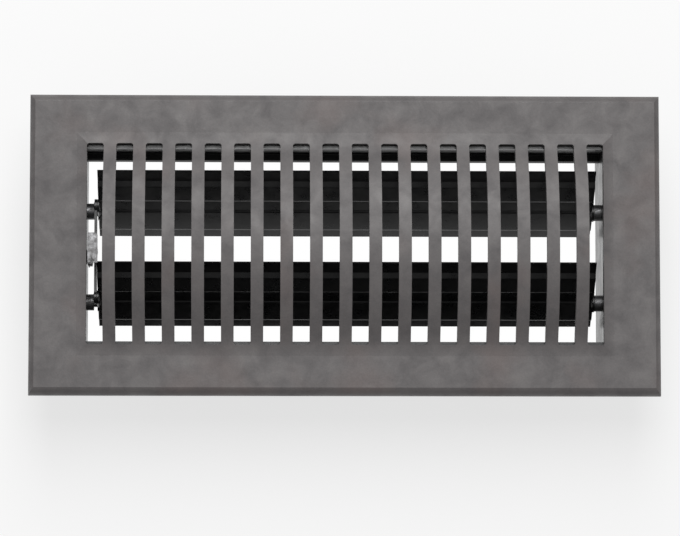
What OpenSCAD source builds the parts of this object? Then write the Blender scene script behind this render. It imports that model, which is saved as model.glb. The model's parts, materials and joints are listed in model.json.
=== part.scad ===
// Drop-in vent register: a cast faceplate with bowed bars over a sheet-steel damper box.
// Two louvre blades in the box turn together, driven by a thumb lever in the first slot.
// X runs along the slots' row, Y across it and Z up out of the face.
// Z is zero at the lower rim of the box, and X and Y are zero at the middle of the plate.

/* [Faceplate] */
// Width of the plate's border past the first and last slots
end_border = 26.5; // [24:0.1:40]
// Width of the plate's border past the ends of the slots
side_border = 23.15; // [18:0.05:36]
// Height of the plate from its seat on the floor to its flat face
plate_h = 7.5; // [6.5:0.1:10]
// Thickness of the casting under the face
face_t = 4; // [3:0.1:4.5]
// Width of the foot that the rim stands on
rim_w = 5; // [4:0.1:8]
// Corner radius of the hollow inside the rim
pocket_r = 3; // [1:0.1:6]
// Radius of the rolled edge
edge_r = 5; // [4.5:0.1:6]
// Width of the rolled edge along the long sides, seen from above
edge_run_long = 3.5; // [2.5:0.1:4.2]
// Width of the rolled edge along the short sides, seen from above
edge_run_short = 2.6; // [2:0.1:4.2]

/* [Bars and slots] */
// Number of slots
slot_count = 18; // [8:1:24]
// Width of a slot
slot_w = 7.8; // [6.5:0.1:9]
// Distance from slot to slot
slot_pitch = 13.6; // [12:0.1:15]
// Length of a slot
slot_l = 93.4; // [80:0.1:120]
// Corner radius of a slot
slot_r = 1.2; // [0.4:0.1:2.5]
// Height of the bars' crown above the flat face
bow_rise = 15; // [5:0.5:20]
// Thickness of a bar
bar_t = 4; // [3:0.1:5]
// Width of the swept margin round the slots, where the face starts to rise
bow_margin = 6.3; // [3:0.1:8]
// Radius of the hollow sweep between the flat face and the bars
bow_sweep_r = 25; // [15:1:40]

/* [Damper box] */
// Distance from the first and last slots to the box's ends
end_margin = 1.5; // [0.5:0.1:4]
// Distance from the ends of the slots to the box's long walls
side_margin = 0.2; // [0:0.1:1]
// Room between the upright blades and the underside of the plate
top_room = 4.3; // [3:0.1:20]
// Room between the upright blades and the lower rim of the box
floor_room = 3.8; // [3:0.1:20]
// Thickness of the box's sheet steel
sheet_t = 1; // [0.6:0.1:1.2]
// Width of the flange at the top of the long walls, turned inwards
wall_flange = 2; // [1:0.1:3]
// Reach of the stop beads from the long walls
bead_reach = 5.4; // [5:0.1:6]
// Height of a stop bead's sloping side
bead_slope = 5; // [3:0.1:7]
// Length of the laps that close the box's corners
corner_lap = 12; // [8:0.5:16]
// Distance of the corner laps from the top and bottom of the box
lap_inset = 2; // [1:0.5:6]
// Reach of the flanges that carry the box under the plate
hang_reach = 9; // [8:0.5:12]
// Distance from the ends of those flanges to the long walls
hang_inset = 6.9; // [3:0.1:14]

/* [Blades] */
// Overlap of the blades when shut
blade_lap = 2.6; // [2:0.1:3.2]
// Room between the shut lower blade and the front wall
front_room = 0.9; // [0.8:0.1:1.5]
// Room between the shut upper blade and the rear wall
rear_room = 4.7; // [4.3:0.1:5]
// Thickness of a blade's sheet
blade_t = 0.8; // [0.5:0.1:1]
// Tilt of the blades as they stand, from flat shut
blade_tilt = 54.5; // [40:0.5:70]
// Depth of a blade's pan below its pivots
pan_depth = 2.6; // [2.6:0.1:3.2]
// Distance from a blade's pivots to the middle of its width
blade_lead = 1; // [0.5:0.1:1.5]
// Height of the pan above the blade's lips
lip_step = 1.85; // [1:0.05:2.2]
// Run of the slope between pan and lip
lip_run = 2.2; // [1.5:0.1:3]
// Width of the lip along the edge that rises
rising_lip = 6.8; // [5:0.1:8]
// Width of the lip along the edge that dips
dipping_lip = 4.8; // [4.6:0.1:6]
// Width of the groove along the blade
groove_w = 8; // [5:0.1:10]
// Depth of the groove
groove_d = 0.6; // [0.3:0.1:1]
// Run of the groove's sides
groove_run = 0.7; // [0.5:0.05:1]
// Distance from the blade's rising edge to the middle of the groove
groove_place = 22.4; // [20:0.1:24]
// Bend radius in the pressed sheet
bend_r = 0.9; // [0.6:0.1:1.2]
// Gap between the blades and the left end plate, where the linkage works
link_bay = 5.7; // [5.7:0.1:7]
// Gap between the blades and the right end plate
free_gap = 3.3; // [2:0.1:4.5]
// Radius of a blade's ear round its pivot
ear_r = 4.2; // [3.5:0.1:5]
// Width of an ear where it leaves the blade
ear_w = 12; // [8:0.5:14]
// Height of that wide root
ear_root = 1.4; // [1:0.1:1.8]
// Tilt of the blades when shut
shut_tilt = 2; // [1:0.5:4]
// Gap between the shut blades and the stop beads
stop_play = 0.2; // [0.15:0.05:0.3]

/* [Linkage] */
// Distance from a pivot to the pin of its crank
crank_r = 10; // [8:0.1:12]
// Angle of a crank ahead of its blade
crank_lead = 27; // [24:0.5:32]
// Radius of a crank's end round its pin
crank_end_r = 3.2; // [2.6:0.1:3.6]
// Width of the link bar
link_w = 4.6; // [4:0.1:5]
// Thickness of the link bar
link_t = 1.2; // [0.8:0.1:1.4]
// Play between flat pieces that slide on each other
side_play = 0.15; // [0.1:0.01:0.2]
// Gap between the link bar and the spacers
link_gap = 0.4; // [0.3:0.05:0.5]
// Thickness of the thumb lever's sheet
lever_t = 1.2; // [0.8:0.1:1.4]
// Gap between the lever and the left end plate
lever_gap = 2; // [1.8:0.05:2.1]
// Radius of the lever round its pivot
lever_hub_r = 4.5; // [4:0.1:6]
// Width of the lever's arm
lever_w = 7.5; // [7:0.1:9]
// Distance of the thumb pad's top below the flat face
pad_sink = 1; // [0.8:0.1:4]
// Length of the thumb pad
pad_l = 14; // [10:0.5:16]
// Width of the thumb pad across the slot
pad_w = 4.6; // [4:0.1:5.5]
// Length of the pad's slanting corner
pad_cut = 6; // [3:0.1:8]
// Width of the pad's tip beside that corner
pad_tip = 1.1; // [0.8:0.1:2]
// Lean of the lever towards the rear at the blades' standing tilt
lever_lean = 2.2; // [0:0.1:5]

/* [Rivets and screws] */
// Radius of the pivot rivets
pivot_r = 1.5; // [1.2:0.05:1.6]
// Radius of the pivot rivets' collar beside the linkage
collar_r = 2.2; // [2:0.05:2.3]
// Radius of the pivot rivets' outer heads
pivot_head_r = 3; // [2.6:0.1:3.6]
// Radius of the pivot rivets' inner ends
pivot_tail_r = 2; // [1.9:0.05:2]
// Radius of the spacers on the pivots
spacer_r = 3.8; // [3:0.1:4.2]
// Radius of the link rivets
link_pin_r = 1.2; // [1:0.05:1.3]
// Radius of the link rivets' heads
link_head_r = 2; // [1.8:0.05:2.1]
// Radius of the lever's pivot rivet
lever_pin_r = 2; // [1.6:0.05:2.2]
// Radius of the head of the lever's pivot rivet
lever_head_r = 3.5; // [3:0.1:4]
// Height of the lever's collar on the end plate
lever_collar_t = 0.5; // [0.4:0.05:0.6]
// Thickness of the lever's spring washer
washer_t = 0.4; // [0.3:0.05:0.5]
// Reach of that washer past the head of the lever's rivet
washer_reach = 1.5; // [1:0.1:2]
// Height of the rivet heads
head_h = 0.6; // [0.4:0.05:0.7]
// Height of the low heads between the blades and the link bar
low_head_h = 0.3; // [0.2:0.05:0.35]
// Radial clearance of a pin that turns in its hole
pin_play = 0.05; // [0.03:0.01:0.08]
// Radial clearance of a fixed rivet or screw in its hole
fixed_play = 0.02; // [0.01:0.01:0.03]
// Radius of the corner rivets
corner_pin_r = 1.2; // [1:0.1:1.6]
// Radius of the corner rivets' heads
corner_head_r = 2.2; // [1.8:0.1:2.6]
// Distance of the corner rivets from the top and bottom of the box
corner_inset = 9; // [7:0.5:11]
// Radius of the screws that hold the box to the plate
screw_r = 1.6; // [1.4:0.05:1.8]
// Radius of those screws' heads
screw_head_r = 3.1; // [2.8:0.1:3.6]
// Height of those screws' heads
screw_head_h = 1.9; // [1.5:0.1:2]
// Distance of the screws from the ends of the hanging flanges
screw_inset = 10; // [6:0.5:16]
// Thickness of casting left over the screws' holes
screw_cover = 1; // [0.8:0.1:1.4]
// Depth of those holes past the screws' ends
screw_end_gap = 0.1; // [0.1:0.05:0.3]
// Radial room of the screws in the flanges' holes
screw_room = 0.4; // [0.2:0.05:0.6]

/* [Hidden] */
$fn = 64;

iron = [0.40, 0.38, 0.38];
black_paint = [0.08, 0.08, 0.08];
bare_steel = [0.45, 0.45, 0.45];

// Extra length of a cutting tool past the face that it cuts
over = 1;
// Turned steps in a rounded corner of pressed sheet
bend_steps = 3;

// The slots' field and the plate round it
field_l = (slot_count - 1) * slot_pitch + slot_w;
plate_l = field_l + 2 * end_border;
plate_w = slot_l + 2 * side_border;

// Faces of the box
end_x = field_l / 2 + end_margin;
wall_y = slot_l / 2 + side_margin;
box_in_l = 2 * end_x;
lap_y = wall_y + sheet_t;

// The two shut blades with their overlap fill the box's width between the rooms left before and behind them
pivot_pitch = (2 * wall_y - front_room - rear_room - blade_lap) / 2;
blade_w = pivot_pitch + blade_lap;

// A blade's edges and lips, measured along the blade and square to it from its pivots
rising_s = blade_lead + blade_w / 2;
dipping_s = blade_lead - blade_w / 2;
lip_n = -pan_depth - lip_step;

// The pivots, with room for the upright blades below and above
pivot_z = floor_room - dipping_s;
lower_y = -wall_y + front_room - dipping_s;
upper_y = lower_y + pivot_pitch;
lever_y = (lower_y + upper_y) / 2;

// Levels of the plate
under_z = pivot_z + rising_s + top_room;
face_z = under_z + face_t;
seat_z = face_z - plate_h;

// The sweep round the slots dips just under the face so that the two cross
bow_half = slot_l / 2 + bow_margin;
sweep_dip = 0.03;
sweep_z = face_z + bow_sweep_r - sweep_dip;
// The crown's circle meets the sweep's circle where both lean by bow_angle
bow_h = bow_rise + sweep_dip;
crown_r = (bow_half * bow_half + bow_h * bow_h) / (2 * bow_h) - bow_sweep_r;
bow_angle = asin(bow_half / (crown_r + bow_sweep_r));
crown_z = face_z + bow_rise - crown_r;

// The rear stop bead is under the upper blade's rising edge when shut,
// and the front one is over the lower blade's dipping lip
function shut_z(s, n) = pivot_z + s * sin(shut_tilt) + n * cos(shut_tilt);
rear_stop_z = shut_z(rising_s, lip_n - blade_t / 2) - stop_play;
front_stop_z = shut_z(dipping_s + dipping_lip, lip_n + blade_t / 2) + stop_play;

// Ends of the blades, and the pieces beside their left ends in order from the blades outwards
blade_x0 = -end_x + link_bay;
blade_x1 = end_x - free_gap;
link_x = blade_x0 - side_play - link_t;
collar_x = blade_x0 - side_play;
spacer_x = link_x - link_gap;
lever_x = -end_x + lever_gap;

// Where the cranks' pins stand, from their pivots
crank_angle = blade_tilt + crank_lead;
pin_y = crank_r * cos(crank_angle);
pin_z = crank_r * sin(crank_angle);

// The screws go through the middle of the hanging flanges
screw_x = end_x + sheet_t + hang_reach / 2;
screw_grip = face_t - screw_cover - screw_end_gap;
hang_l = 2 * (wall_y - hang_inset);
screw_y = hang_l / 2 - screw_inset;

// A 2D outline in Y and Z, drawn out along X from x0
module along_x(x0, length) {
    translate([x0, 0, 0]) rotate([90, 0, 90]) linear_extrude(length) children();
}

// A 2D outline in X and Z, drawn out along Y about the middle
module along_y(length) {
    translate([0, length / 2, 0]) rotate([90, 0, 0]) linear_extrude(length) children();
}

// A round bar along X
module rod(x0, length, r) {
    translate([x0, 0, 0]) rotate([0, 90, 0]) cylinder(h = length, r = r);
}

// A rivet head that stands up along Z from zero
module dome(r, h) {
    ball_r = (r * r + h * h) / (2 * h);
    intersection() {
        translate([0, 0, h - ball_r]) sphere(r = ball_r, $fn = 96);
        cylinder(h = h + over, r = r + over);
    }
}

module dome_left(x0, r, h) {
    translate([x0, 0, 0]) rotate([0, -90, 0]) dome(r, h);
}

module dome_right(x0, r, h) {
    translate([x0, 0, 0]) rotate([0, 90, 0]) dome(r, h);
}

module rounded_rect(l, w, r) {
    square([l - 2 * r, w], center = true);
    square([l, w - 2 * r], center = true);
    for (sx = [-1, 1], sy = [-1, 1])
        translate([sx * (l / 2 - r), sy * (w / 2 - r)]) circle(r, $fn = 32);
}

// Sheet metal: a path down the middle of the sheet, its corners turned to a radius, given a thickness
function unit(v) = v / norm(v);
function left_of(v) = [-v[1], v[0]];
function corner_arc(a, b, c, r) =
    let (u = unit(a - b), w = unit(c - b), half = acos(u * w) / 2, reach = r / tan(half),
         mid = b + unit(u + w) * r / sin(half), start = b + u * reach - mid, stop = b + w * reach - mid)
    [for (i = [0 : bend_steps])
        let (k = i / bend_steps, v = unit(start * (1 - k) + stop * k)) mid + v * r];
function turned(path, r) = [
    for (i = [0 : len(path) - 1])
        each (i == 0 || i == len(path) - 1) ? [path[i]] : corner_arc(path[i - 1], path[i], path[i + 1], r)];
function side_point(path, i, t) =
    let (before = i == 0 ? path[1] - path[0] : path[i] - path[i - 1],
         after = i == len(path) - 1 ? before : path[i + 1] - path[i],
         n0 = left_of(unit(before)), n1 = left_of(unit(after)), n = unit(n0 + n1))
    path[i] + n * t / (n * n0);
module sheet(path, t) {
    last = len(path) - 1;
    polygon(concat([for (i = [0 : last]) side_point(path, i, t / 2)],
                   [for (i = [0 : last]) side_point(path, last - i, -t / 2)]));
}

// Plate outline seen from one side, with the rolled edge
module edge_profile(width, run) {
    edge_z = face_z - sqrt(edge_r * edge_r - pow(edge_r - run, 2));
    intersection() {
        union() {
            translate([-width / 2, seat_z]) square([width, edge_z - seat_z]);
            translate([-width / 2 + edge_r, seat_z]) square([width - 2 * edge_r, plate_h]);
            for (side = [-1, 1])
                translate([side * (width / 2 - edge_r), edge_z]) circle(edge_r, $fn = 96);
        }
        translate([-width / 2, seat_z]) square([width, plate_h]);
    }
}

module plate_blank() {
    intersection() {
        along_x(-plate_l / 2, plate_l) edge_profile(plate_w, edge_run_long);
        along_y(plate_w) edge_profile(plate_l, edge_run_short);
    }
}

// Cross-section of the bow: everything below a surface that lies depth under the top of the bow
module bow_profile(depth, base_z, half) {
    crown = crown_r - depth;
    sweep = bow_sweep_r + depth;
    turn_y = crown * sin(bow_angle);
    turn_z = crown_z + crown * cos(bow_angle);
    intersection() {
        translate([-half, base_z]) square([2 * half, face_z + bow_rise + over - base_z]);
        difference() {
            union() {
                translate([-bow_half, base_z]) square([2 * bow_half, turn_z - base_z]);
                intersection() {
                    translate([0, crown_z]) circle(crown, $fn = 256);
                    translate([-turn_y, turn_z - over]) square([2 * turn_y, bow_rise + face_t + over]);
                }
            }
            for (side = [-1, 1])
                translate([side * bow_half, sweep_z]) circle(sweep, $fn = 256);
        }
    }
}

// Outline along X of what is cut away past the middle of the last slot,
// so that the bow runs out there in a sweep too
module bow_end_cut() {
    start = field_l / 2 - slot_w / 2;
    run = slot_w / 2 + bow_margin;
    translate([start, 0]) intersection() {
        translate([0, seat_z]) square([run + over, plate_h + bow_rise + over]);
        union() {
            translate([run, sweep_z - sweep_dip]) circle(bow_sweep_r, $fn = 256);
            translate([0, sweep_z - sweep_dip]) square([run + over, bow_sweep_r]);
        }
    }
}

module bow() {
    difference() {
        along_x(-field_l / 2 - bow_margin, field_l + 2 * bow_margin) bow_profile(0, under_z, bow_half);
        for (side = [0, 1]) mirror([side, 0, 0]) along_y(plate_w) bow_end_cut();
    }
}

module faceplate() {
    color(iron)
    difference() {
        union() {
            plate_blank();
            bow();
        }
        translate([0, 0, seat_z - over]) linear_extrude(under_z - seat_z + over)
            rounded_rect(plate_l - 2 * rim_w, plate_w - 2 * rim_w, pocket_r);
        along_x(-field_l / 2 + slot_w / 2, field_l - slot_w) bow_profile(bar_t, seat_z, slot_l / 2);
        for (i = [0 : slot_count - 1])
            translate([(i - (slot_count - 1) / 2) * slot_pitch, 0, seat_z])
                linear_extrude(plate_h + bow_rise + over) rounded_rect(slot_w, slot_l, slot_r);
        for (sx = [-1, 1], sy = [-1, 1])
            translate([sx * screw_x, sy * screw_y, under_z - over])
                cylinder(h = over + screw_grip + screw_end_gap, r = screw_r + fixed_play);
    }
}

// A long wall, as it stands at the rear: flange, upper web, stop bead and lower web.
// The bead's flat side is at stop_z, and its sloping side is above or below it.
module side_wall(stop_z, slope_up) {
    mid_y = wall_y + sheet_t / 2;
    tip_y = wall_y - bead_reach + sheet_t / 2;
    top_z = under_z - sheet_t / 2;
    flat_z = stop_z + (slope_up ? sheet_t / 2 : -sheet_t / 2);
    far_z = flat_z + (slope_up ? bead_slope : -bead_slope);
    high_z = max(flat_z, far_z);
    low_z = min(flat_z, far_z);
    path = [[wall_y - wall_flange, top_z], [mid_y, top_z], [mid_y, high_z], [tip_y, flat_z], [mid_y, low_z],
            [mid_y, 0]];
    difference() {
        along_x(-end_x, box_in_l) sheet(turned(path, bend_r), sheet_t);
        corner_rivet_places() rotate([-90, 0, 0])
            translate([0, 0, -sheet_t - over])
                cylinder(h = sheet_t + 2 * over, r = corner_pin_r + fixed_play);
    }
}

module rear_side_wall() {
    color(black_paint) side_wall(rear_stop_z, false);
}

module front_side_wall() {
    color(black_paint) mirror([0, 1, 0]) side_wall(front_stop_z, true);
}

// Two rivets in each rear corner lap, placed on the outer face of the wall inside it
module corner_rivet_places() {
    for (sx = [-1, 1], z = [corner_inset, under_z - corner_inset])
        translate([sx * (end_x - corner_lap / 2), lap_y, z]) children();
}

// An end of the box, as it stands on the right: plate, two laps and the hanging flange
module end_plate(holes) {
    lap_h = under_z - 2 * lap_inset;
    difference() {
        union() {
            translate([end_x, -lap_y - sheet_t, 0]) cube([sheet_t, 2 * (lap_y + sheet_t), under_z]);
            for (sy = [-1, 1])
                translate([end_x - corner_lap, sy * (lap_y + sheet_t / 2) - sheet_t / 2, lap_inset])
                    cube([corner_lap + sheet_t, sheet_t, lap_h]);
            translate([end_x, -hang_l / 2, under_z - sheet_t]) cube([sheet_t + hang_reach, hang_l, sheet_t]);
        }
        for (sy = [0, 1]) mirror([0, sy, 0]) corner_rivet_places() rotate([-90, 0, 0])
            translate([0, 0, -over]) cylinder(h = sheet_t + 2 * over, r = corner_pin_r + fixed_play);
        for (sy = [-1, 1])
            translate([screw_x, sy * screw_y, under_z - sheet_t - over])
                cylinder(h = sheet_t + 2 * over, r = screw_r + screw_room);
        for (hole = holes)
            translate([0, hole[0], pivot_z]) rod(end_x - over, sheet_t + 2 * over, hole[1] + fixed_play);
    }
}

module left_end_plate() {
    color(black_paint) mirror([1, 0, 0])
        end_plate([[upper_y, pivot_r], [lower_y, pivot_r], [lever_y, lever_pin_r]]);
}

module right_end_plate() {
    color(black_paint) end_plate([[upper_y, pivot_r], [lower_y, pivot_r]]);
}

module corner_rivet() {
    rotate([-90, 0, 0]) {
        translate([0, 0, -sheet_t]) cylinder(h = 2 * sheet_t, r = corner_pin_r);
        translate([0, 0, sheet_t]) dome(corner_head_r, head_h);
        translate([0, 0, -sheet_t]) rotate([180, 0, 0]) dome(corner_head_r, head_h);
    }
}

module corner_rivets() {
    color(bare_steel)
    for (sy = [0, 1]) mirror([0, sy, 0]) corner_rivet_places() corner_rivet();
}

module plate_screw(sx, sy) {
    head_z = under_z - sheet_t;
    color(bare_steel)
    translate([sx * screw_x, sy * screw_y, 0])
    difference() {
        union() {
            translate([0, 0, head_z]) cylinder(h = sheet_t + screw_grip, r = screw_r);
            translate([0, 0, head_z]) rotate([180, 0, 0]) dome(screw_head_r, screw_head_h);
        }
        for (turn = [0, 90])
            translate([0, 0, head_z - screw_head_h]) rotate(turn)
                cube([screw_head_r, screw_r / 2, screw_head_h], center = true);
    }
}

// Path down the middle of a blade's sheet, from its rising edge to its dipping edge, about its pivots
function blade_path() =
    let (pan_n = -pan_depth, groove_n = -pan_depth - groove_d,
         groove_s = rising_s - groove_place, half = groove_w / 2)
    [[rising_s, lip_n], [rising_s - rising_lip, lip_n], [rising_s - rising_lip - lip_run, pan_n],
     [groove_s + half, pan_n], [groove_s + half - groove_run, groove_n],
     [groove_s - half + groove_run, groove_n], [groove_s - half, pan_n],
     [dipping_s + dipping_lip + lip_run, pan_n], [dipping_s + dipping_lip, lip_n], [dipping_s, lip_n]];

// An ear bent up from a blade's end: outline about the pivot, with a crank on the driven end
module ear_outline(cranked) {
    difference() {
        union() {
            circle(ear_r);
            translate([-ear_w / 2, -pan_depth - blade_t / 2]) square([ear_w, ear_root]);
            translate([-ear_r, -pan_depth]) square([2 * ear_r, pan_depth]);
            if (cranked) rotate(crank_lead) {
                translate([0, -crank_end_r]) square([crank_r, 2 * crank_end_r]);
                translate([crank_r, 0]) circle(crank_end_r);
            }
        }
        circle(pivot_r + pin_play);
        if (cranked) rotate(crank_lead) translate([crank_r, 0]) circle(link_pin_r + fixed_play);
    }
}

module blade(pivot_y) {
    color(black_paint)
    translate([0, pivot_y, pivot_z]) rotate([blade_tilt, 0, 0]) {
        along_x(blade_x0, blade_x1 - blade_x0) sheet(turned(blade_path(), bend_r), blade_t);
        along_x(blade_x0, blade_t) ear_outline(true);
        along_x(blade_x1 - blade_t, blade_t) ear_outline(false);
    }
}

module upper_blade() {
    blade(upper_y);
}

module lower_blade() {
    blade(lower_y);
}

// Rivet at a blade's left end: outer head, shank, collar beside the link bar and inner end
module left_pivot(pivot_y) {
    head_x = -end_x - sheet_t;
    tail_x = blade_x0 + blade_t + side_play;
    color(bare_steel)
    translate([0, pivot_y, pivot_z]) {
        dome_left(head_x, pivot_head_r, head_h);
        rod(head_x, tail_x - head_x, pivot_r);
        rod(spacer_x, collar_x - spacer_x, collar_r);
        dome_right(tail_x, pivot_tail_r, head_h);
    }
}

// Rivet at a blade's right end
module right_pivot(pivot_y) {
    head_x = end_x + sheet_t;
    tail_x = blade_x1 - blade_t - side_play;
    color(bare_steel)
    translate([0, pivot_y, pivot_z]) {
        dome_right(head_x, pivot_head_r, head_h);
        rod(tail_x, head_x - tail_x, pivot_r);
        dome_left(tail_x, pivot_tail_r, head_h);
    }
}

module spacer(x0, length, pivot_y) {
    color(bare_steel)
    translate([0, pivot_y, pivot_z])
    difference() {
        rod(x0, length, spacer_r);
        rod(x0 - over, length + 2 * over, pivot_r + pin_play);
    }
}

module left_spacer(pivot_y) {
    spacer(-end_x, spacer_x + end_x, pivot_y);
}

module right_spacer(pivot_y) {
    spacer(blade_x1 + side_play, end_x - blade_x1 - side_play, pivot_y);
}

// Rivet that joins a blade's crank to the link bar
module crank_rivet(pivot_y) {
    tail_x = blade_x0 + blade_t;
    head_x = link_x - side_play;
    color(bare_steel)
    translate([0, pivot_y + pin_y, pivot_z + pin_z]) {
        dome_left(head_x, link_head_r, low_head_h);
        rod(head_x, tail_x - head_x, link_pin_r);
        dome_right(tail_x, link_head_r, head_h);
    }
}

module link_bar() {
    color(black_paint)
    along_x(link_x, link_t)
    difference() {
        union() {
            translate([lower_y + pin_y, pivot_z + pin_z - link_w / 2]) square([pivot_pitch, link_w]);
            for (y = [lower_y, lever_y, upper_y])
                translate([y + pin_y, pivot_z + pin_z]) circle(y == lever_y ? link_w / 2 : crank_end_r);
        }
        for (y = [lower_y, lever_y, upper_y])
            translate([y + pin_y, pivot_z + pin_z]) circle(link_pin_r + pin_play);
    }
}

// The lever's arm about its pivot, upright, widening to the fold of the thumb pad
module lever_outline(height) {
    neck = lever_hub_r + crank_r;
    difference() {
        union() {
            circle(lever_hub_r);
            polygon([[-lever_w / 2, 0], [lever_w / 2, 0], [lever_w / 2, neck],
                     [pad_l / 2, height - lever_w / 2], [pad_l / 2, height],
                     [-pad_l / 2, height], [-pad_l / 2, height - lever_w / 2], [-lever_w / 2, neck]]);
        }
        circle(lever_pin_r + pin_play);
    }
}

module pad_outline() {
    polygon([[0, pad_l / 2], [pad_w - pad_tip, pad_l / 2], [pad_w, pad_l / 2 - pad_tip], [pad_w, -pad_l / 2],
             [pad_w - pad_tip, -pad_l / 2], [0, -pad_l / 2 + pad_cut]]);
}

module thumb_lever() {
    pad_top = face_z - pad_sink - pivot_z;
    color(bare_steel)
    difference() {
        translate([0, lever_y, pivot_z]) rotate([-lever_lean, 0, 0]) {
            along_x(lever_x, lever_t) lever_outline(pad_top);
            translate([lever_x, 0, pad_top - lever_t]) linear_extrude(lever_t) pad_outline();
        }
        translate([0, lever_y + pin_y, pivot_z + pin_z])
            rod(lever_x - over, lever_t + 2 * over, link_pin_r + fixed_play);
    }
}

module lever_link_rivet() {
    tail_x = link_x + link_t + side_play;
    shoulder_x = lever_x + lever_t;
    color(bare_steel)
    translate([0, lever_y + pin_y, pivot_z + pin_z]) {
        dome_left(lever_x, link_head_r, head_h);
        rod(lever_x, tail_x - lever_x, link_pin_r);
        rod(shoulder_x, link_x - side_play - shoulder_x, link_head_r);
        dome_right(tail_x, link_head_r, low_head_h);
    }
}

// The lever turns on a rivet whose collar stands on the end plate, with a spring washer between the two
module lever_pivot() {
    head_x = -end_x - sheet_t;
    tail_x = lever_x + lever_t + side_play;
    color(bare_steel)
    translate([0, lever_y, pivot_z]) {
        dome_left(head_x, lever_head_r, head_h);
        rod(head_x, tail_x - head_x, lever_pin_r);
        rod(-end_x, lever_collar_t, lever_head_r);
        dome_right(tail_x, lever_head_r, head_h);
    }
}

module lever_spring_washer() {
    washer_r = lever_head_r + washer_reach;
    bore_r = lever_pin_r + pin_play;
    room = lever_gap - lever_collar_t - side_play;
    color(bare_steel)
    translate([-end_x + lever_collar_t, lever_y, pivot_z]) rotate([0, 90, 0])
    rotate_extrude()
        polygon([[bore_r, 0], [bore_r + washer_t, 0], [washer_r, room - washer_t], [washer_r, room],
                 [washer_r - washer_t, room], [bore_r, washer_t]]);
}

faceplate();
rear_side_wall();
front_side_wall();
left_end_plate();
right_end_plate();
corner_rivets();
plate_screw(-1, 1);  // plate_screw_rear_left
plate_screw(1, 1);  // plate_screw_rear_right
plate_screw(-1, -1);  // plate_screw_front_left
plate_screw(1, -1);  // plate_screw_front_right
upper_blade();
lower_blade();
left_pivot(upper_y);  // upper_left_pivot
right_pivot(upper_y);  // upper_right_pivot
left_pivot(lower_y);  // lower_left_pivot
right_pivot(lower_y);  // lower_right_pivot
left_spacer(upper_y);  // upper_left_spacer
right_spacer(upper_y);  // upper_right_spacer
left_spacer(lower_y);  // lower_left_spacer
right_spacer(lower_y);  // lower_right_spacer
crank_rivet(upper_y);  // upper_link_rivet
crank_rivet(lower_y);  // lower_link_rivet
link_bar();
thumb_lever();
lever_link_rivet();
lever_pivot();
lever_spring_washer();
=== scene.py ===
import json
import math

import bmesh
import bpy
from mathutils import Matrix, Vector


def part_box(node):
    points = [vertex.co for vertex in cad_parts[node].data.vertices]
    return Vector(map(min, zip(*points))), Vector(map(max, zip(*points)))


mm = 0.001

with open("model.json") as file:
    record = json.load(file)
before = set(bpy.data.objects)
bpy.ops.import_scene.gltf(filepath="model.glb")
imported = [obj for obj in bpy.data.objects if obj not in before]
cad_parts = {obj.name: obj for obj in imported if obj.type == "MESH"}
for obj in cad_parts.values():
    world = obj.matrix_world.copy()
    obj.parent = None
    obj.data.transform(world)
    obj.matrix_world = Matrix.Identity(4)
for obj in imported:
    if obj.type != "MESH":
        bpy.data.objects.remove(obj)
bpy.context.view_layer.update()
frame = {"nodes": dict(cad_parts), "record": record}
nodes = frame["nodes"]
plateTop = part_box("faceplate")[1].z
print("frame loaded:", len(nodes), "nodes")


# Small helpers for shader trees

def newMaterial(name):
    material = bpy.data.materials.new(name)
    material.use_nodes = True
    tree = material.node_tree
    tree.nodes.clear()
    output = tree.nodes.new("ShaderNodeOutputMaterial")
    return material, tree, output


def addNode(tree, kind, settings=None, **inputs):
    node = tree.nodes.new(kind)
    for key, value in (settings or {}).items():
        setattr(node, key, value)
    for key, value in inputs.items():
        socket = node.inputs[key.replace("_", " ")]
        if isinstance(value, bpy.types.NodeSocket):
            tree.links.new(value, socket)
        else:
            socket.default_value = value
    return node


def objectPlace(tree):
    return addNode(tree, "ShaderNodeTexCoord").outputs["Object"]


def noise(tree, vector, scale, detail=4, roughness=0.55, distortion=0.0):
    node = addNode(tree, "ShaderNodeTexNoise", Vector=vector, Scale=scale, Detail=detail,
                   Roughness=roughness, Distortion=distortion)
    return node.outputs["Fac"]


def ramp(tree, factor, stops):
    node = addNode(tree, "ShaderNodeValToRGB", Fac=factor)
    elements = node.color_ramp.elements
    while len(elements) < len(stops):
        elements.new(0.5)
    for element, (place, colour) in zip(elements, stops):
        element.position = place
        element.color = colour
    return node.outputs["Color"]


def mathOf(tree, operation, first, second=0.5, third=0.5):
    node = tree.nodes.new("ShaderNodeMath")
    node.operation = operation
    for socket, value in zip(node.inputs, (first, second, third)):
        if isinstance(value, bpy.types.NodeSocket):
            tree.links.new(value, socket)
        else:
            socket.default_value = value
    return node.outputs[0]


def mapped(tree, value, low, high, newLow, newHigh):
    node = addNode(tree, "ShaderNodeMapRange", Value=value)
    node.inputs["From Min"].default_value = low
    node.inputs["From Max"].default_value = high
    node.inputs["To Min"].default_value = newLow
    node.inputs["To Max"].default_value = newHigh
    return node.outputs["Result"]


def mixedColour(tree, factor, first, second, blend="MIX"):
    node = tree.nodes.new("ShaderNodeMix")
    node.data_type = "RGBA"
    node.blend_type = blend
    sockets = [s for s in node.inputs if s.type == "RGBA"]
    factorSocket = node.inputs["Factor"]
    for socket, value in ((factorSocket, factor), (sockets[0], first), (sockets[1], second)):
        if isinstance(value, bpy.types.NodeSocket):
            tree.links.new(value, socket)
        else:
            socket.default_value = value
    return [s for s in node.outputs if s.type == "RGBA"][0]


# Finishes

ironLook = {
    "colour": (0.104, 0.096, 0.096, 1),
    "lightColour": (0.124, 0.115, 0.113, 1),
    "darkColour": (0.080, 0.074, 0.075, 1),
    "rustColour": (0.125, 0.096, 0.090, 1),
    "mottleScale": 90,
    "grainScale": 1400,
    "roughness": (0.46, 0.62),
    "grainBump": 0.03 * mm,
}


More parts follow.
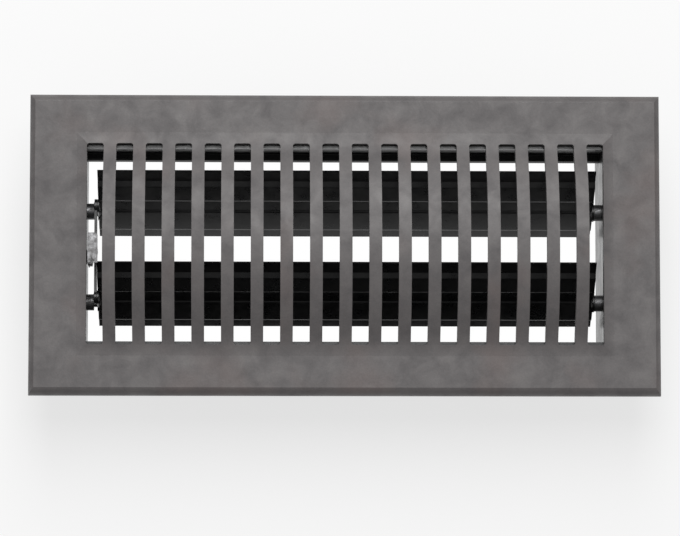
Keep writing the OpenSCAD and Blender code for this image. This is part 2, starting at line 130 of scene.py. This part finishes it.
def castIron():
    look = ironLook
    material, tree, output = newMaterial("castIron")
    place = objectPlace(tree)
    mottle = noise(tree, place, look["mottleScale"], detail=6, roughness=0.6, distortion=0.4)
    cloud = noise(tree, place, look["mottleScale"] * 0.28, detail=3)
    grain = noise(tree, place, look["grainScale"], detail=3)
    shades = [(0.3, look["darkColour"]), (0.52, look["colour"]), (0.75, look["lightColour"])]
    colour = ramp(tree, mottle, shades)
    rust = mapped(tree, cloud, 0.52, 0.72, 0, 0.55)
    colour = mixedColour(tree, rust, colour, look["rustColour"])
    speck = mapped(tree, grain, 0.3, 0.7, 0.92, 1.08)
    colour = mixedColour(tree, 1.0, colour, speck, "MULTIPLY")
    gloss = mapped(tree, mottle, 0.3, 0.7, look["roughness"][1], look["roughness"][0])
    height = mathOf(tree, "ADD", mathOf(tree, "MULTIPLY", grain, 0.6), mathOf(tree, "MULTIPLY", mottle, 1.2))
    bump = addNode(tree, "ShaderNodeBump", Height=height, Distance=look["grainBump"], Strength=1.0)
    shader = addNode(tree, "ShaderNodeBsdfPrincipled", Base_Color=colour, Roughness=gloss,
                     Normal=bump.outputs["Normal"])
    tree.links.new(shader.outputs["BSDF"], output.inputs["Surface"])
    return material


enamelLook = {
    "colour": (0.006, 0.006, 0.0065, 1),
    "dustColour": (0.016, 0.0155, 0.015, 1),
    "roughness": (0.24, 0.40),
    "dustScale": 130,
    "peelScale": 420,
    "peelBump": 0.02 * mm,
}


def blackEnamel():
    look = enamelLook
    material, tree, output = newMaterial("blackEnamel")
    place = objectPlace(tree)
    peel = noise(tree, place, look["peelScale"], detail=2)
    dust = noise(tree, place, look["dustScale"], detail=5, roughness=0.65)
    colour = ramp(tree, dust, [(0.45, look["colour"]), (0.8, look["dustColour"])])
    gloss = mapped(tree, dust, 0.3, 0.75, look["roughness"][0], look["roughness"][1])
    bump = addNode(tree, "ShaderNodeBump", Height=peel, Distance=look["peelBump"], Strength=1.0)
    shader = addNode(tree, "ShaderNodeBsdfPrincipled", Base_Color=colour, Roughness=gloss,
                     Normal=bump.outputs["Normal"])
    tree.links.new(shader.outputs["BSDF"], output.inputs["Surface"])
    return material


steelLook = {
    "colour": (0.20, 0.20, 0.205, 1),
    "darkColour": (0.10, 0.098, 0.098, 1),
    "stainScale": 500,
    "stainBump": 0.01 * mm,
    "metallic": 0.8,
    "roughness": (0.34, 0.55),
}


def dullSteel():
    look = steelLook
    material, tree, output = newMaterial("dullSteel")
    place = objectPlace(tree)
    stain = noise(tree, place, look["stainScale"], detail=5, roughness=0.6)
    colour = ramp(tree, stain, [(0.35, look["darkColour"]), (0.65, look["colour"])])
    gloss = mapped(tree, stain, 0.3, 0.7, look["roughness"][1], look["roughness"][0])
    bump = addNode(tree, "ShaderNodeBump", Height=stain, Distance=look["stainBump"], Strength=1.0)
    shader = addNode(tree, "ShaderNodeBsdfPrincipled", Base_Color=colour, Roughness=gloss,
                     Metallic=look["metallic"], Normal=bump.outputs["Normal"])
    tree.links.new(shader.outputs["BSDF"], output.inputs["Surface"])
    return material


iron = castIron()
enamel = blackEnamel()
steel = dullSteel()

finishes = {
    "cast_plate": iron,
    "black_sheet": enamel,
    "lever_steel": steel,
    "fastener_steel": steel,
}
slotOf = {part["node"]: part["material_slot"] for part in frame["record"]["subparts"]}
for name, cadNode in nodes.items():
    cadNode.data.materials.clear()
    cadNode.data.materials.append(finishes[slotOf[name]])
print("finishes set")


# Camera, over the face and a little to its front left

cameraPlace = {
    "bowRise": 15 * mm,  # from the flat face to the bars' crown
    "foot": Vector((-45, -189, 0)) * mm,  # the point of the face straight under the lens
    "height": 1739 * mm,
    "lookAt": Vector((-2.5, -11.1, 0)) * mm,  # on the flat face
    "focalPixels": 3789,
    "framePixels": 680,
    "sensor": 36,
    "clipEnd": 20,
}


def placeCamera():
    face = Vector((0, 0, plateTop - cameraPlace["bowRise"]))
    eye = face + cameraPlace["foot"] + Vector((0, 0, cameraPlace["height"]))
    target = face + cameraPlace["lookAt"]
    back = (eye - target).normalized()
    right = Vector((0, 1, 0)).cross(back).normalized()
    up = back.cross(right)
    turn = Matrix((right, up, back)).transposed()
    data = bpy.data.cameras.new("photoCamera")
    data.sensor_width = cameraPlace["sensor"]
    data.lens = cameraPlace["focalPixels"] / cameraPlace["framePixels"] * cameraPlace["sensor"]
    data.clip_end = cameraPlace["clipEnd"]
    camera = bpy.data.objects.new("photoCamera", data)
    camera.matrix_world = Matrix.Translation(eye) @ turn.to_4x4()
    bpy.context.scene.collection.objects.link(camera)
    bpy.context.scene.camera = camera


placeCamera()


# Stage

stageLook = {
    "floorSize": 6.0,
    "floorColour": (0.82, 0.82, 0.82, 1),
    "whiteShare": 0.7,
    "floorDrop": 0.05 * mm,
    "ductHalf": Vector((120.9, 46.8)) * mm,  # just inside the box's walls
}


def seenWhite(tree, shader, share):
    path = addNode(tree, "ShaderNodeLightPath")
    seen = mathOf(tree, "MAXIMUM", path.outputs["Is Camera Ray"], path.outputs["Is Glossy Ray"])
    seen = mathOf(tree, "MAXIMUM", seen, path.outputs["Is Transmission Ray"])
    white = addNode(tree, "ShaderNodeEmission", Color=(1, 1, 1, 1), Strength=1.0)
    factor = mathOf(tree, "MULTIPLY", seen, share)
    mix = addNode(tree, "ShaderNodeMixShader", Fac=factor)
    tree.links.new(shader, mix.inputs[1])
    tree.links.new(white.outputs["Emission"], mix.inputs[2])
    return mix.outputs["Shader"]


def flatSheet(name, low, high, z):
    mesh = bpy.data.meshes.new(name)
    shape = bmesh.new()
    bmesh.ops.create_grid(shape, x_segments=1, y_segments=1, size=0.5)
    bmesh.ops.scale(shape, vec=(high.x - low.x, high.y - low.y, 1), verts=shape.verts)
    bmesh.ops.translate(shape, vec=((low.x + high.x) / 2, (low.y + high.y) / 2, z), verts=shape.verts)
    shape.to_mesh(mesh)
    shape.free()
    sheet = bpy.data.objects.new(name, mesh)
    bpy.context.scene.collection.objects.link(sheet)
    return sheet


def buildStage():
    half = stageLook["floorSize"] / 2
    drop = stageLook["floorDrop"]
    floor = flatSheet("floor", Vector((-half, -half)), Vector((half, half)), -drop)
    material, tree, output = newMaterial("paleFloor")
    matte = addNode(tree, "ShaderNodeBsdfDiffuse", Color=stageLook["floorColour"])
    shader = seenWhite(tree, matte.outputs["BSDF"], stageLook["whiteShare"])
    tree.links.new(shader, output.inputs["Surface"])
    floor.data.materials.append(material)

    # A painted pool of light: the floor patch inside the box shows full white to camera, glossy and
    # transmission rays, so the box's shadow on the floor is not seen through the slots
    ductHalf = stageLook["ductHalf"]
    paintedLightPatch = flatSheet("paintedLightPatch", -ductHalf, ductHalf, drop)
    # Painted light: full white emission stands in for the shaded floor under the box
    material, tree, output = newMaterial("paintedLightWhite")
    matte = addNode(tree, "ShaderNodeBsdfDiffuse", Color=stageLook["floorColour"])
    shader = seenWhite(tree, matte.outputs["BSDF"], 1.0)
    tree.links.new(shader, output.inputs["Surface"])
    paintedLightPatch.data.materials.append(material)


def areaLamp(name, place, aim, size, power):
    data = bpy.data.lights.new(name, "AREA")
    data.shape = "RECTANGLE"
    data.size, data.size_y = size
    data.energy = power
    lamp = bpy.data.objects.new(name, data)
    back = (Vector(place) - Vector(aim)).normalized()
    lamp.matrix_world = Matrix.Translation(Vector(place)) @ back.to_track_quat("Z", "X").to_matrix().to_4x4()
    bpy.context.scene.collection.objects.link(lamp)


lightLook = {
    "keyAngle": 30,
    "keyDistance": 1.5,
    "keySize": (1.4, 0.7),
    "keyPower": 22,
    "worldStrength": 0.35,
}


def buildLights():
    look = lightLook
    angle = math.radians(look["keyAngle"])
    crown = (0, 0, plateTop)
    place = (0.0, look["keyDistance"] * math.sin(angle), plateTop + look["keyDistance"] * math.cos(angle))
    areaLamp("keyLamp", place, crown, look["keySize"], look["keyPower"])
    world = bpy.data.worlds.new("studio")
    bpy.context.scene.world = world
    world.use_nodes = True
    tree = world.node_tree
    tree.nodes.clear()
    output = tree.nodes.new("ShaderNodeOutputWorld")
    path = addNode(tree, "ShaderNodeLightPath")
    strength = mapped(tree, path.outputs["Is Camera Ray"], 0, 1, look["worldStrength"], 1)
    back = addNode(tree, "ShaderNodeBackground", Color=(1, 1, 1, 1), Strength=strength)
    tree.links.new(back.outputs["Background"], output.inputs["Surface"])


buildStage()
buildLights()
bpy.context.scene.view_settings.view_transform = "Standard"
print("stage and lights set")
